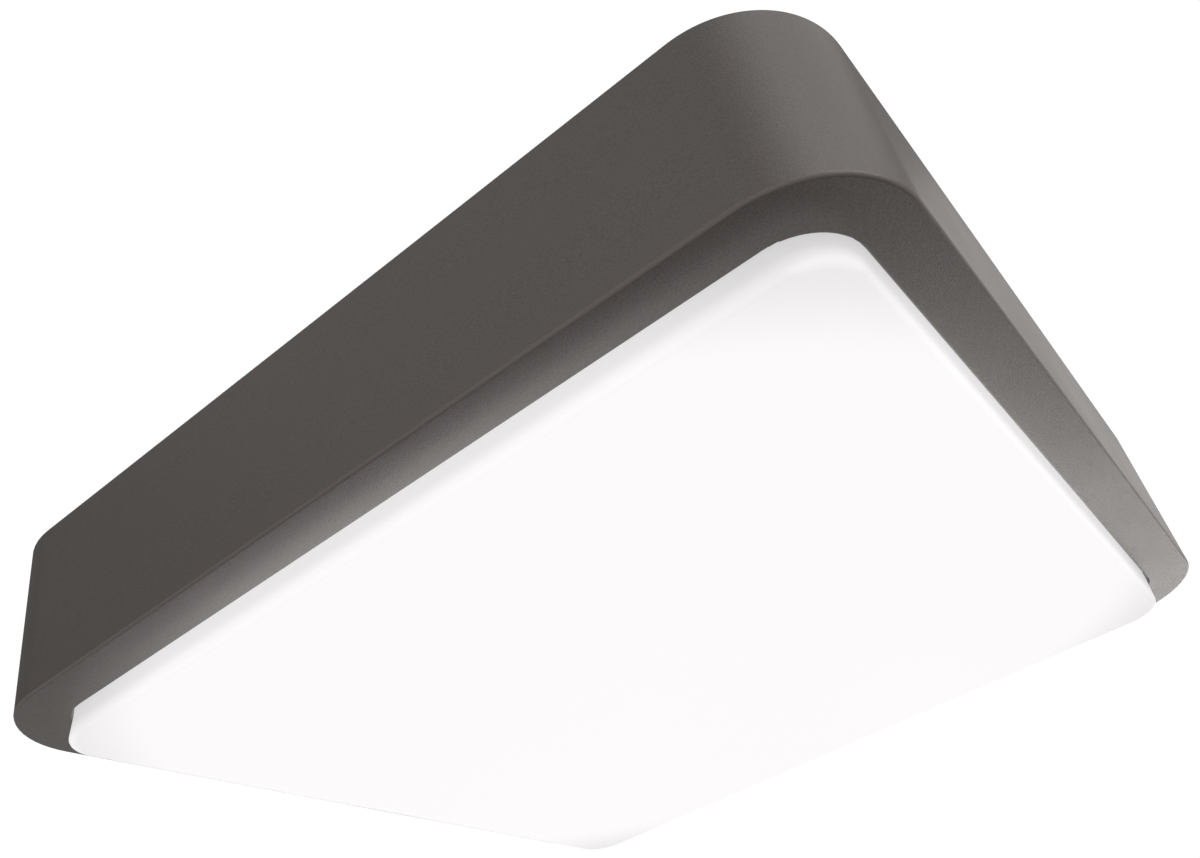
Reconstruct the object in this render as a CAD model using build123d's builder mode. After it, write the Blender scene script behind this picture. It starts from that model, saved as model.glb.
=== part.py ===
"""Square outdoor wall light: a cast cover with an opal panel over a wall base that carries the LED gear."""

import os
from math import atan2, cos

from build123d import *

# Driving dimensions in millimetres, the draft in degrees.
# Depth is the distance in front of the wall, towards -Y.

# Cover casting
body_width = 240.0
body_depth = 44.5
side_draft = 0.85
corner_radius = 24.0
wall = 3.0
bezel_width = 12.3
bezel_thickness = 3.0
front_edge_radius = 0.8
back_edge_radius = 0.4
aperture_radius = 13.4
aperture_edge_radius = 0.5

# Diffuser and what holds it
diffuser_proud = 6.4
diffuser_front_inset = 0.7
diffuser_front_radius = 8.5
diffuser_wall = 2.2
diffuser_edge_radius = 1.4
diffuser_gap = 0.4
flange_width = 4.0
flange_thickness = 2.0
diffuser_gasket_thickness = 1.0
diffuser_gasket_margin = 0.5
clip_boss_radius = 2.5
clip_boss_gap = 0.4
clip_spread = 62.0
clip_length = 12.0
clip_reach = 2.2
clip_thickness = 1.0
clip_hole_radius = 1.4
clip_screw_head_radius = 2.4
clip_screw_head_height = 1.7
clip_screw_radius = 1.15
clip_screw_bite = 4.5

# Wall base
wall_gasket_thickness = 2.0
wall_gasket_width = 7.0
wall_gasket_margin = 0.5
base_thickness = 2.5
base_gap = 1.0
rail_inset = 5.0
rail_thickness = 1.5
rail_height = 10.0
rail_length = 164.0
rail_groove = 1.2
rail_tab_length = 10.0
rail_tab_spread = 60.0
spacer_flats = 8.0
spacer_height = 20.0
spacer_inset = 9.0
spacer_stud_radius = 1.95
spacer_stud_length = 3.4
fixing_edge_gap = 8.0
fixing_spacing_z = 100.0
fixing_slot_width = 5.2
fixing_slot_length = 12.0
fixing_pad_margin = 4.5
screw_pad_radius = 4.5
screw_pad_clearance = 0.4
back_rib_width = 2.0
back_rib_half = 62.0
back_rib_radius = 10.0
back_rib_gap = 1.0

# Fit of the cover on the base
cover_fit_gap = 0.3
rib_thickness = 2.0
rib_spread = 38.0
rib_base_gap = 1.0
cover_screw_spread = 140.0
cover_screw_radius = 1.95
cover_screw_sink = 1.2
cover_screw_gap = 0.12
cover_screw_socket = 2.0
cover_screw_socket_depth = 2.6
cover_screw_point = 0.8
cover_boss_radius = 4.5
cover_boss_gap = 0.8

# Cable entry
cable_radius = 4.0
grommet_neck_radius = 7.0
grommet_flange_radius = 9.0
grommet_back_thickness = 1.7
grommet_front_thickness = 2.0
grommet_nose_radius = 5.6
grommet_nose_length = 4.0
grommet_from_terminal = 80.0

# Gear tray
tray_clearance = 2.4
tray_sheet = 1.2
skirt_run = 13.0
skirt_depth = 11.5
tray_corner_radius = 12.0
tray_screw_radius = 1.95
tray_screw_head_radius = 3.6
tray_screw_head_height = 2.4
tray_screw_length = 12.0
lead_hole_radius = 4.5
lead_grommet_lip = 1.2
lead_grommet_lip_thickness = 1.0
lead_grommet_wall = 1.2

# LED board
board_margin = 17.0
board_thickness = 1.6
board_radius = 4.0
pad_thickness = 0.5
led_rows = 6
led_edge = 10.5
led_length = 3.5
led_width = 2.8
led_height = 0.8
board_screw_radius = 1.45
board_screw_head_radius = 2.8
board_screw_head_height = 1.9
board_screw_length = 4.8
connector_width = 10.0
connector_length = 6.5
connector_height = 5.0
connector_edge = 1.5
connector_hole_depth = 3.0
lead_hole_from_board = 10.0

# Driver
driver_length = 112.0
driver_width = 46.0
driver_height = 17.0
driver_wall = 1.6
driver_lid_thickness = 2.0
driver_lid_lip = 1.2
driver_rise = 15.0
driver_corner_radius = 3.0
ear_length = 11.0
ear_width = 16.0
ear_thickness = 3.0
driver_screw_radius = 1.45
driver_screw_head_radius = 3.2
driver_screw_head_height = 2.2
driver_screw_bite = 3.4
driver_board_margin = 0.6
driver_board_thickness = 1.6
driver_board_radius = 1.5
driver_board_stand = 2.0
driver_stand_radius = 2.4
driver_stand_inset_x = 9.4
driver_stand_inset_z = 7.4
transformer_x = 2.0
transformer_rise = 3.0
core_length = 19.0
core_width = 13.0
coil_length = 11.0
coil_width = 18.0
coil_radius = 3.0
coil_gap = 1.0
choke_x = -24.0
choke_rise = 6.0
choke_radius = 7.0
choke_bore = 3.0
choke_height = 6.6
choke_edge = 1.0
input_capacitor_x = -42.0
input_capacitor_rise = 4.0
input_capacitor_radius = 5.0
output_capacitor_xs = (24.0, 36.0)
output_capacitor_rise = 6.0
output_capacitor_radius = 4.0
film_capacitor_x = -34.0
film_capacitor_rise = -10.0
film_capacitor_length = 12.0
film_capacitor_width = 6.0
film_capacitor_edge = 1.0

# Terminal block
pole_pitch = 11.0
pole_count = 3
terminal_side = 7.0
terminal_length = 20.0
terminal_height = 15.0
insert_radius = 2.9
insert_length = 16.0
insert_bore = 1.8
terminal_screw_radius = 1.45
terminal_screw_head_radius = 2.0
terminal_screw_head_height = 1.8
terminal_screw_spread = 9.0
terminal_fixing_radius = 1.3
terminal_fixing_head_radius = 1.7
terminal_fixing_head_height = 1.4
terminal_fixing_sink = 6.0
terminal_edge_gap = 19.5
terminal_shift = -30.0

# Earth point
earth_screw_radius = 1.95
earth_screw_bite = 3.6
earth_head_radius = 3.9
earth_head_height = 2.6
earth_washer_radius = 4.2
earth_washer_thickness = 1.0
ring_radius = 4.4
ring_thickness = 0.8
barrel_radius = 1.8
barrel_length = 7.0
earth_run = 32.0
earth_rise = 25.0

# Wires and small fits
supply_lead_radius = 1.2
supply_lead_shift = 4.0
supply_lead_bend = 14.0
supply_lead_slant = 12.0
led_lead_radius = 0.9
led_lead_pitch = 3.0
led_lead_bend_back = 8.0
led_lead_bend_front = 6.0
lead_grip = 6.0
lead_tail = 3.0
lead_end_gap = 0.4
earth_lead_drop_start = 4.0
earth_lead_drop_end = 9.0
earth_lead_drop_bend = 4.0
earth_lead_bend = 9.0
barrel_stop = 1.5
barrel_gap = 0.6
lead_hole_x = 14.0
clip_corner = 1.2
connector_corner = 0.6
lid_lip_corner = 1.2
terminal_chamfer = 2.0
terminal_corner = 1.0
washer_notches = 10
washer_notch_radius = 0.5
lead_hole_gap = 0.25
screw_gap = 0.05
hole_gap = 0.15
fit_gap = 0.1

# Derived levels, measured from the wall
base_back = wall_gasket_thickness
base_front = base_back + base_thickness
tray_back = base_front + spacer_height
tray_floor = tray_back + tray_sheet
tray_mouth = tray_back + skirt_depth
board_back = tray_floor + pad_thickness
board_front = board_back + board_thickness
bezel_back = body_depth - bezel_thickness
flange_front = bezel_back - diffuser_gasket_thickness
flange_back = flange_front - flange_thickness
clip_back = flange_back - clip_thickness
diffuser_front = body_depth + diffuser_proud
diffuser_inside = diffuser_front - diffuser_wall
driver_top = base_front + driver_height
driver_shell_top = driver_top - driver_lid_thickness
driver_floor = base_front + driver_wall
driver_board_back = driver_floor + driver_board_stand
driver_board_front = driver_board_back + driver_board_thickness
lead_level = base_front + terminal_height / 2

# Derived half widths and corner radii
body_half = body_width / 2
inner_half = body_half - wall
inner_radius = corner_radius - wall
aperture_half = body_half - bezel_width
diffuser_half = aperture_half - diffuser_gap
diffuser_radius = aperture_radius - diffuser_gap
diffuser_inner_half = diffuser_half - diffuser_wall
diffuser_inner_radius = diffuser_radius - diffuser_wall
flange_half = diffuser_half + flange_width
flange_radius = diffuser_radius + flange_width
clip_line = flange_half + clip_boss_gap + clip_boss_radius
clip_alongs = (-clip_spread, clip_spread)
base_half = inner_half - base_gap
base_radius = inner_radius - base_gap
rail_half = base_half - rail_inset
rail_inner_half = rail_half - rail_thickness
mouth_half = diffuser_inner_half - tray_clearance
floor_half = mouth_half - skirt_run
board_half = floor_half - board_margin
led_pitch = 2 * (board_half - led_edge) / (led_rows - 1)

# Derived positions on the base, as (X, Z)
spacer_spread = 2 * (floor_half - spacer_inset)
spacer_spots = [(x * spacer_spread / 2, z * spacer_spread / 2) for x in (-1, 1) for z in (-1, 1)]
gasket_half = base_half - wall_gasket_margin
gasket_radius = base_radius - wall_gasket_margin
gasket_inner_half = gasket_half - wall_gasket_width
fixing_pad_length = fixing_slot_length + 2 * fixing_pad_margin
fixing_pad_width = fixing_slot_width + 2 * fixing_pad_margin
fixing_spacing_x = 2 * (gasket_inner_half - fixing_edge_gap) - fixing_pad_length
driver_bottom = driver_rise - driver_width / 2
ear_centre = driver_length / 2 + ear_length / 2
terminal_z = terminal_edge_gap + terminal_length / 2 - rail_inner_half
terminal_top = terminal_z + terminal_length / 2
terminal_width = (pole_count - 1) * pole_pitch + 2 * terminal_side
pole_xs = [terminal_shift + (i - (pole_count - 1) / 2) * pole_pitch for i in range(pole_count)]
earth_pole, live_pole, neutral_pole = pole_xs
earth_spot = (earth_pole - earth_run, terminal_top + earth_rise)
grommet_spot = (terminal_shift + grommet_from_terminal, terminal_z)
lead_hole_spot = (lead_hole_x, -board_half - lead_hole_from_board)
connector_bottom = -board_half + connector_edge
connector_spot = (lead_hole_spot[0], connector_bottom + connector_length / 2)
connector_level = board_front + connector_height / 2
cover_screw_level = base_front + rail_height / 2
driver_screw_spots = [(-ear_centre, driver_rise), (ear_centre, driver_rise)]
terminal_fixing_spots = [(terminal_shift + side * pole_pitch / 2, terminal_z) for side in (-1, 1)]
board_screw_spread = 4 * led_pitch
board_screw_spots = [(0, 0)] + [
    (x * board_screw_spread / 2, z * board_screw_spread / 2) for x in (-1, 1) for z in (-1, 1)
]
led_lead_xs = [lead_hole_spot[0] - led_lead_pitch / 2, lead_hole_spot[0] + led_lead_pitch / 2]


def at_depth(depth):
    """Plane parallel to the wall at this depth, facing the room."""
    return Plane.XZ.offset(depth)


def spot(x, depth, z):
    """Point at X, a depth in front of the wall, and Z."""
    return Vector(x, -depth, z)


def square(half, radius, mode=Mode.ADD):
    """Rounded square of this half width in the current sketch."""
    return RectangleRounded(2 * half, 2 * half, radius, mode=mode)


def side_spots(line, alongs):
    """Places at these distances along each of the four sides, turned to face outwards."""
    places = []
    for turn in (0, 90, 180, 270):
        for along in alongs:
            places.append(Location((0, 0, 0), (0, 0, turn)) * Location((line, along, 0)))
    return places


def screws(plane, spots, head_radius, head_height, radius, length):
    """Pan head screws with a cross recess, heads on the front of the plane and shanks behind it."""
    with BuildPart() as group:
        with BuildSketch(plane):
            with Locations(*spots):
                Circle(head_radius)
        extrude(amount=head_height)
        flats = group.faces().filter_by(GeomType.PLANE)
        crowns = [face for face in flats if plane.to_local_coords(face.center()).Z > head_height / 2]
        fillet([edge for face in crowns for edge in face.edges()], head_height * 0.45)
        with BuildSketch(plane.offset(head_height)):
            with Locations(*spots):
                Rectangle(head_radius * 1.2, head_radius * 0.28)
                Rectangle(head_radius * 0.28, head_radius * 1.2)
        extrude(amount=-head_height * 0.6, mode=Mode.SUBTRACT)
        with BuildSketch(plane):
            with Locations(*spots):
                Circle(radius)
        extrude(amount=-length)
    return group.part


def lead(points, radius, bends):
    """Round wire along straight runs joined by tangent arcs."""
    with BuildPart() as wire:
        with BuildLine() as route:
            FilletPolyline(*points, radius=bends)
        with BuildSketch(Plane(origin=route.line @ 0, z_dir=route.line % 0)):
            Circle(radius)
        sweep()
    return wire.part


# Cover casting: side walls, bezel, clip bosses, locating ribs and bosses for the cover screws
with BuildPart() as housing:
    with BuildSketch(at_depth(0)):
        square(body_half, corner_radius)
    extrude(amount=body_depth, taper=side_draft)
    fillet(housing.faces().sort_by(Axis.Y)[0].edges(), front_edge_radius)
    fillet(housing.faces().sort_by(Axis.Y)[-1].edges(), back_edge_radius)
    with BuildSketch(at_depth(0)):
        square(inner_half, inner_radius)
    extrude(amount=bezel_back, mode=Mode.SUBTRACT)
    with BuildSketch(at_depth(bezel_back)):
        square(aperture_half, aperture_radius)
    extrude(amount=bezel_thickness, mode=Mode.SUBTRACT)
    front_face = housing.faces().sort_by(Axis.Y)[0]
    fillet(front_face.inner_wires()[0].edges(), aperture_edge_radius)
    with BuildSketch(at_depth(flange_back)):
        with Locations(*side_spots(clip_line, clip_alongs)):
            Circle(clip_boss_radius)
        web = inner_half - clip_line + wall / 2
        with Locations(*side_spots(clip_line + web / 2, clip_alongs)):
            Rectangle(web, 2 * clip_boss_radius)
    extrude(amount=bezel_back - flange_back)
    with BuildSketch(at_depth(flange_back)):
        with Locations(*side_spots(clip_line, clip_alongs)):
            Circle(clip_screw_radius + screw_gap)
    extrude(amount=clip_screw_bite + fit_gap, mode=Mode.SUBTRACT)
    rib_start = rail_half + cover_fit_gap
    rib_reach = inner_half + wall / 2 - rib_start
    with BuildSketch(at_depth(base_front + rib_base_gap)):
        with Locations(*side_spots(rib_start + rib_reach / 2, (-rib_spread, rib_spread))):
            Rectangle(rib_reach, rib_thickness)
    extrude(amount=rail_height - rib_base_gap)
    boss_end = rail_half + cover_boss_gap
    with BuildSketch(Plane.XY.offset(-boss_end)):
        with Locations((0, -cover_screw_level)):
            with GridLocations(cover_screw_spread, 1, 2, 1):
                Circle(cover_boss_radius)
    extrude(amount=boss_end - inner_half - wall / 2)
    with BuildSketch(Plane.XY.offset(-boss_end)):
        with Locations((0, -cover_screw_level)):
            with GridLocations(cover_screw_spread, 1, 2, 1):
                Circle(cover_screw_radius + screw_gap)
    extrude(amount=boss_end - body_half, mode=Mode.SUBTRACT)

# Opal panel: a shallow dish that narrows in front of the bezel, with a flange behind it
with BuildPart() as diffuser:
    with BuildSketch(at_depth(flange_back)):
        square(diffuser_half, diffuser_radius)
    extrude(amount=body_depth - flange_back)
    with BuildSketch(at_depth(body_depth)):
        square(diffuser_half, diffuser_radius)
    with BuildSketch(at_depth(diffuser_front)):
        square(diffuser_half - diffuser_front_inset, diffuser_front_radius)
    loft()
    fillet(diffuser.faces().sort_by(Axis.Y)[0].edges(), diffuser_edge_radius)
    with BuildSketch(at_depth(flange_back)):
        square(flange_half, flange_radius)
    extrude(amount=flange_thickness)
    with BuildSketch(at_depth(flange_back)):
        square(diffuser_inner_half, diffuser_inner_radius)
    extrude(amount=body_depth - flange_back, mode=Mode.SUBTRACT)
    with BuildSketch(at_depth(body_depth)):
        square(diffuser_inner_half, diffuser_inner_radius)
    with BuildSketch(at_depth(diffuser_inside)):
        square(diffuser_inner_half - diffuser_front_inset, diffuser_front_radius - diffuser_wall)
    loft(mode=Mode.SUBTRACT)

# Flat seal between the flange of the panel and the bezel
with BuildPart() as diffuser_gasket:
    with BuildSketch(at_depth(flange_front)):
        square(flange_half - diffuser_gasket_margin, flange_radius - diffuser_gasket_margin)
        gasket_inner = diffuser_half + diffuser_gap + diffuser_gasket_margin
        square(gasket_inner, aperture_radius + diffuser_gasket_margin, mode=Mode.SUBTRACT)
    extrude(amount=diffuser_gasket_thickness)

# Clips that press the flange forward, two on each side
with BuildPart() as diffuser_clips:
    clip_inner = flange_half - clip_reach
    clip_depth = inner_half - fit_gap - clip_inner
    with BuildSketch(at_depth(clip_back)):
        with Locations(*side_spots(clip_inner + clip_depth / 2, clip_alongs)):
            RectangleRounded(clip_depth, clip_length, clip_corner)
        with Locations(*side_spots(clip_line, clip_alongs)):
            Circle(clip_hole_radius, mode=Mode.SUBTRACT)
    extrude(amount=clip_thickness)

clip_plane = Plane(origin=(0, -clip_back, 0), x_dir=(-1, 0, 0), z_dir=(0, 1, 0))
clip_screw_spots = [(-place.position.X, place.position.Y) for place in side_spots(clip_line, clip_alongs)]
diffuser_clip_screws = screws(
    clip_plane,
    clip_screw_spots,
    clip_screw_head_radius,
    clip_screw_head_height,
    clip_screw_radius,
    clip_thickness + clip_screw_bite,
)


def cover_screw(x):
    """Socket set screw in the bottom wall, its point just off the rail of the base."""
    outer = -body_half + cover_screw_sink
    point = -rail_half - cover_screw_gap
    with BuildPart() as screw:
        with BuildSketch(Plane.XY.offset(outer)):
            with Locations((x, -cover_screw_level)):
                Circle(cover_screw_radius)
        extrude(amount=point - outer)
        chamfer(screw.faces().sort_by(Axis.Z)[-1].edges(), cover_screw_point)
        with BuildSketch(Plane.XY.offset(outer)):
            with Locations((x, -cover_screw_level)):
                RegularPolygon(cover_screw_socket / 2, 6, major_radius=False)
        extrude(amount=cover_screw_socket_depth, mode=Mode.SUBTRACT)
    return screw.part


cover_screw_left = cover_screw(-cover_screw_spread / 2)
cover_screw_right = cover_screw(cover_screw_spread / 2)

# Cast base: plate with grooves and slots for the rails, wall pads with slots, ribs and seats for the gear
rail_line = rail_half - rail_thickness / 2
rail_tabs = side_spots(rail_line, (-rail_tab_spread, 0, rail_tab_spread))
with BuildPart() as base_plate:
    with BuildSketch(at_depth(base_back)):
        square(base_half, base_radius)
    extrude(amount=base_thickness)
    with BuildSketch(at_depth(base_front)):
        with Locations(*side_spots(rail_line, [0])):
            Rectangle(rail_thickness + 2 * fit_gap, rail_length + 2 * fit_gap)
    extrude(amount=-rail_groove, mode=Mode.SUBTRACT)
    with BuildSketch(at_depth(base_back)):
        with Locations(*rail_tabs):
            Rectangle(rail_thickness + 2 * fit_gap, rail_tab_length + 2 * fit_gap)
    extrude(amount=base_thickness, mode=Mode.SUBTRACT)
    with BuildSketch(at_depth(0)):
        with GridLocations(fixing_spacing_x, fixing_spacing_z, 2, 2):
            SlotOverall(fixing_pad_length, fixing_pad_width)
    extrude(amount=base_back)
    with BuildSketch(at_depth(screw_pad_clearance)):
        with Locations(*driver_screw_spots, *terminal_fixing_spots, *spacer_spots, earth_spot):
            Circle(screw_pad_radius)
    extrude(amount=base_back - screw_pad_clearance)
    cross_rib = 2 * (gasket_inner_half - back_rib_gap)
    with BuildSketch(at_depth(screw_pad_clearance)):
        square(back_rib_half, back_rib_radius)
        square(back_rib_half - back_rib_width, back_rib_radius - back_rib_width, mode=Mode.SUBTRACT)
        Rectangle(cross_rib, back_rib_width)
        Rectangle(back_rib_width, cross_rib)
    extrude(amount=base_back - screw_pad_clearance)
    with BuildSketch(at_depth(0)):
        with GridLocations(fixing_spacing_x, fixing_spacing_z, 2, 2):
            SlotOverall(fixing_slot_length, fixing_slot_width)
    extrude(amount=base_front, mode=Mode.SUBTRACT)
    with BuildSketch(at_depth(0)):
        with Locations(grommet_spot):
            Circle(grommet_neck_radius + fit_gap)
    extrude(amount=base_front, mode=Mode.SUBTRACT)
    with BuildSketch(at_depth(base_front)):
        with Locations(*spacer_spots):
            Circle(spacer_stud_radius + screw_gap)
    extrude(amount=-spacer_stud_length - fit_gap, mode=Mode.SUBTRACT)
    with BuildSketch(at_depth(base_front)):
        with Locations(*driver_screw_spots):
            Circle(driver_screw_radius + screw_gap)
        with Locations(*terminal_fixing_spots):
            Circle(terminal_fixing_radius + screw_gap)
    extrude(amount=-driver_screw_bite - fit_gap, mode=Mode.SUBTRACT)
    with BuildSketch(at_depth(base_front)):
        with Locations(earth_spot):
            Circle(earth_screw_radius + screw_gap)
    extrude(amount=-earth_screw_bite - fit_gap, mode=Mode.SUBTRACT)

# Steel rails for the cover screws to bear on, each with three tabs through the base
with BuildPart() as cover_rails:
    with BuildSketch(at_depth(base_front - rail_groove)):
        with Locations(*side_spots(rail_line, [0])):
            Rectangle(rail_thickness, rail_length)
    extrude(amount=rail_groove + rail_height)
    with BuildSketch(at_depth(base_back)):
        with Locations(*rail_tabs):
            Rectangle(rail_thickness, rail_tab_length)
    extrude(amount=base_thickness - rail_groove)

# Foam seal between the base and the wall
with BuildPart() as wall_gasket:
    with BuildSketch(at_depth(0)):
        square(gasket_half, gasket_radius)
        square(gasket_inner_half, gasket_radius - wall_gasket_width, mode=Mode.SUBTRACT)
    extrude(amount=wall_gasket_thickness)

# Rubber grommet for the supply cable
with BuildPart() as cable_grommet:
    with BuildSketch(at_depth(base_back - grommet_back_thickness)):
        with Locations(grommet_spot):
            Circle(grommet_flange_radius)
    extrude(amount=grommet_back_thickness)
    with BuildSketch(at_depth(base_back)):
        with Locations(grommet_spot):
            Circle(grommet_neck_radius)
    extrude(amount=base_thickness)
    with BuildSketch(at_depth(base_front)):
        with Locations(grommet_spot):
            Circle(grommet_flange_radius)
    extrude(amount=grommet_front_thickness)
    nose_base = base_front + grommet_front_thickness
    with BuildSketch(at_depth(nose_base)):
        with Locations(grommet_spot):
            Circle(grommet_neck_radius)
    with BuildSketch(at_depth(nose_base + grommet_nose_length)):
        with Locations(grommet_spot):
            Circle(grommet_nose_radius)
    loft()
    with BuildSketch(at_depth(base_back - grommet_back_thickness)):
        with Locations(grommet_spot):
            Circle(cable_radius)
    extrude(amount=body_depth, mode=Mode.SUBTRACT)

# Hexagonal spacers with a stud at the back, screwed into the base to carry the tray
with BuildPart() as tray_spacers:
    with BuildSketch(at_depth(base_front)):
        with Locations(*spacer_spots):
            RegularPolygon(spacer_flats / 2, 6, major_radius=False)
    extrude(amount=spacer_height)
    with BuildSketch(at_depth(base_front)):
        with Locations(*spacer_spots):
            Circle(spacer_stud_radius)
    extrude(amount=-spacer_stud_length)
    with BuildSketch(at_depth(tray_back)):
        with Locations(*spacer_spots):
            Circle(tray_screw_radius + screw_gap)
    extrude(amount=-tray_screw_length, mode=Mode.SUBTRACT)

# White reflector dish: folded sheet with sloping skirts, standing on the spacers
skirt_slope = skirt_run / skirt_depth
skirt_offset = tray_sheet / cos(atan2(skirt_run, skirt_depth))
with BuildPart() as gear_tray:
    with BuildSketch(at_depth(tray_back)):
        square(floor_half, tray_corner_radius)
    with BuildSketch(at_depth(tray_mouth)):
        square(mouth_half, tray_corner_radius)
    loft(ruled=True)
    with BuildSketch(at_depth(tray_floor)):
        inner_floor_half = floor_half + skirt_slope * tray_sheet - skirt_offset
        square(inner_floor_half, tray_corner_radius - tray_sheet)
    with BuildSketch(at_depth(tray_mouth)):
        square(mouth_half - skirt_offset, tray_corner_radius - tray_sheet)
    loft(ruled=True, mode=Mode.SUBTRACT)
    with BuildSketch(at_depth(tray_back)):
        with Locations(*spacer_spots):
            Circle(tray_screw_radius + hole_gap)
        with Locations(*board_screw_spots):
            Circle(board_screw_radius + screw_gap)
        with Locations(lead_hole_spot):
            Circle(lead_hole_radius)
    extrude(amount=tray_sheet, mode=Mode.SUBTRACT)

tray_screws = screws(
    at_depth(tray_floor),
    spacer_spots,
    tray_screw_head_radius,
    tray_screw_head_height,
    tray_screw_radius,
    tray_screw_length,
)

# Rubber grommet where the LED leads pass through the tray
with BuildPart() as lead_grommet:
    lip_radius = lead_hole_radius + lead_grommet_lip
    with BuildSketch(at_depth(tray_back - lead_grommet_lip_thickness)):
        with Locations(lead_hole_spot):
            Circle(lip_radius)
    extrude(amount=lead_grommet_lip_thickness)
    with BuildSketch(at_depth(tray_back)):
        with Locations(lead_hole_spot):
            Circle(lead_hole_radius - fit_gap)
    extrude(amount=tray_sheet)
    with BuildSketch(at_depth(tray_floor)):
        with Locations(lead_hole_spot):
            Circle(lip_radius)
    extrude(amount=lead_grommet_lip_thickness)
    with BuildSketch(at_depth(tray_back - lead_grommet_lip_thickness)):
        with Locations(lead_hole_spot):
            Circle(lead_hole_radius - fit_gap - lead_grommet_wall)
    extrude(amount=tray_sheet + 2 * lead_grommet_lip_thickness, mode=Mode.SUBTRACT)

# Thermal pad, LED board, LED packages and board screws
with BuildPart() as thermal_pad:
    with BuildSketch(at_depth(tray_floor)):
        square(board_half, board_radius)
        with Locations(*board_screw_spots):
            Circle(board_screw_radius + hole_gap, mode=Mode.SUBTRACT)
    extrude(amount=pad_thickness)

with BuildPart() as led_board:
    with BuildSketch(at_depth(board_back)):
        square(board_half, board_radius)
        with Locations(*board_screw_spots):
            Circle(board_screw_radius + hole_gap, mode=Mode.SUBTRACT)
    extrude(amount=board_thickness)

with BuildPart() as led_packages:
    with BuildSketch(at_depth(board_front)):
        with GridLocations(led_pitch, led_pitch, led_rows, led_rows):
            Rectangle(led_length, led_width)
    extrude(amount=led_height)

led_board_screws = screws(
    at_depth(board_front),
    board_screw_spots,
    board_screw_head_radius,
    board_screw_head_height,
    board_screw_radius,
    board_screw_length,
)

# Plug connector at the lower edge of the LED board
with BuildPart() as led_connector:
    with BuildSketch(at_depth(board_front)):
        with Locations(connector_spot):
            Rectangle(connector_width, connector_length)
    extrude(amount=connector_height)
    fillet(led_connector.edges().filter_by(Axis.Y), connector_corner)
    with BuildSketch(Plane.XY.offset(connector_bottom)):
        with Locations(*[(x, -connector_level) for x in led_lead_xs]):
            Circle(led_lead_radius + hole_gap)
    extrude(amount=connector_hole_depth, mode=Mode.SUBTRACT)

# Driver: shell with ears, lid, circuit board and the larger components
driver_leads = [live_pole + supply_lead_shift, neutral_pole + supply_lead_shift]
with BuildPart() as driver_case:
    with BuildSketch(at_depth(base_front)):
        with Locations((0, driver_rise)):
            RectangleRounded(driver_length, driver_width, driver_corner_radius)
    extrude(amount=driver_shell_top - base_front)
    with BuildSketch(at_depth(base_front)):
        with Locations((0, driver_rise)):
            RectangleRounded(driver_length + 2 * ear_length, ear_width, ear_width / 2 - 1)
    extrude(amount=ear_thickness)
    with BuildSketch(at_depth(driver_floor)):
        with Locations((0, driver_rise)):
            inner_length = driver_length - 2 * driver_wall
            inner_width = driver_width - 2 * driver_wall
            RectangleRounded(inner_length, inner_width, driver_corner_radius - driver_wall)
    extrude(amount=driver_height, mode=Mode.SUBTRACT)
    with BuildSketch(at_depth(driver_floor)):
        with Locations((0, driver_rise)):
            stand_x = inner_length - 2 * driver_stand_inset_x
            stand_z = inner_width - 2 * driver_stand_inset_z
            with GridLocations(stand_x, stand_z, 2, 2):
                Circle(driver_stand_radius)
    extrude(amount=driver_board_stand)
    with BuildSketch(at_depth(base_front)):
        with Locations(*driver_screw_spots):
            Circle(driver_screw_radius + hole_gap)
    extrude(amount=ear_thickness, mode=Mode.SUBTRACT)
    with BuildSketch(Plane.XY.offset(driver_bottom)):
        with Locations(*[(x, -lead_level) for x in driver_leads]):
            Circle(supply_lead_radius + lead_hole_gap)
        with Locations(*[(x, -lead_level) for x in led_lead_xs]):
            Circle(led_lead_radius + lead_hole_gap)
    extrude(amount=driver_wall, mode=Mode.SUBTRACT)

with BuildPart() as driver_lid:
    with BuildSketch(at_depth(driver_shell_top)):
        with Locations((0, driver_rise)):
            RectangleRounded(driver_length, driver_width, driver_corner_radius)
    extrude(amount=driver_lid_thickness)
    fillet(driver_lid.faces().sort_by(Axis.Y)[0].edges(), driver_lid_thickness * 0.4)
    lip_length = driver_length - 2 * driver_wall - 2 * fit_gap
    lip_width = driver_width - 2 * driver_wall - 2 * fit_gap
    with BuildSketch(at_depth(driver_shell_top)):
        with Locations((0, driver_rise)):
            Rectangle(lip_length, lip_width)
            Rectangle(lip_length - 2 * driver_wall, lip_width - 2 * driver_wall, mode=Mode.SUBTRACT)
    extrude(amount=-driver_lid_lip)
    uprights = driver_lid.edges().filter_by(Axis.Y)
    fillet(uprights.filter_by_position(Axis.Y, -driver_shell_top, -driver_floor), lid_lip_corner)

with BuildPart() as driver_board:
    with BuildSketch(at_depth(driver_board_back)):
        with Locations((0, driver_rise)):
            board_length = driver_length - 2 * driver_wall - 2 * driver_board_margin
            board_width = driver_width - 2 * driver_wall - 2 * driver_board_margin
            RectangleRounded(board_length, board_width, driver_board_radius)
    extrude(amount=driver_board_thickness)

component_room = driver_shell_top - driver_board_front - driver_lid_lip
with BuildPart() as driver_transformer:
    transformer_spot = (transformer_x, driver_rise + transformer_rise)
    with BuildSketch(at_depth(driver_board_front)):
        with Locations(transformer_spot):
            Rectangle(core_length, core_width)
    extrude(amount=component_room)
    with BuildSketch(at_depth(driver_board_front + coil_gap)):
        with Locations(transformer_spot):
            RectangleRounded(coil_length, coil_width, coil_radius)
    extrude(amount=component_room - 2 * coil_gap)

with BuildPart() as driver_choke:
    with BuildSketch(at_depth(driver_board_front)):
        with Locations((choke_x, driver_rise + choke_rise)):
            Circle(choke_radius)
            Circle(choke_bore, mode=Mode.SUBTRACT)
    extrude(amount=choke_height)
    fillet(driver_choke.edges(), choke_edge)

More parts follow.
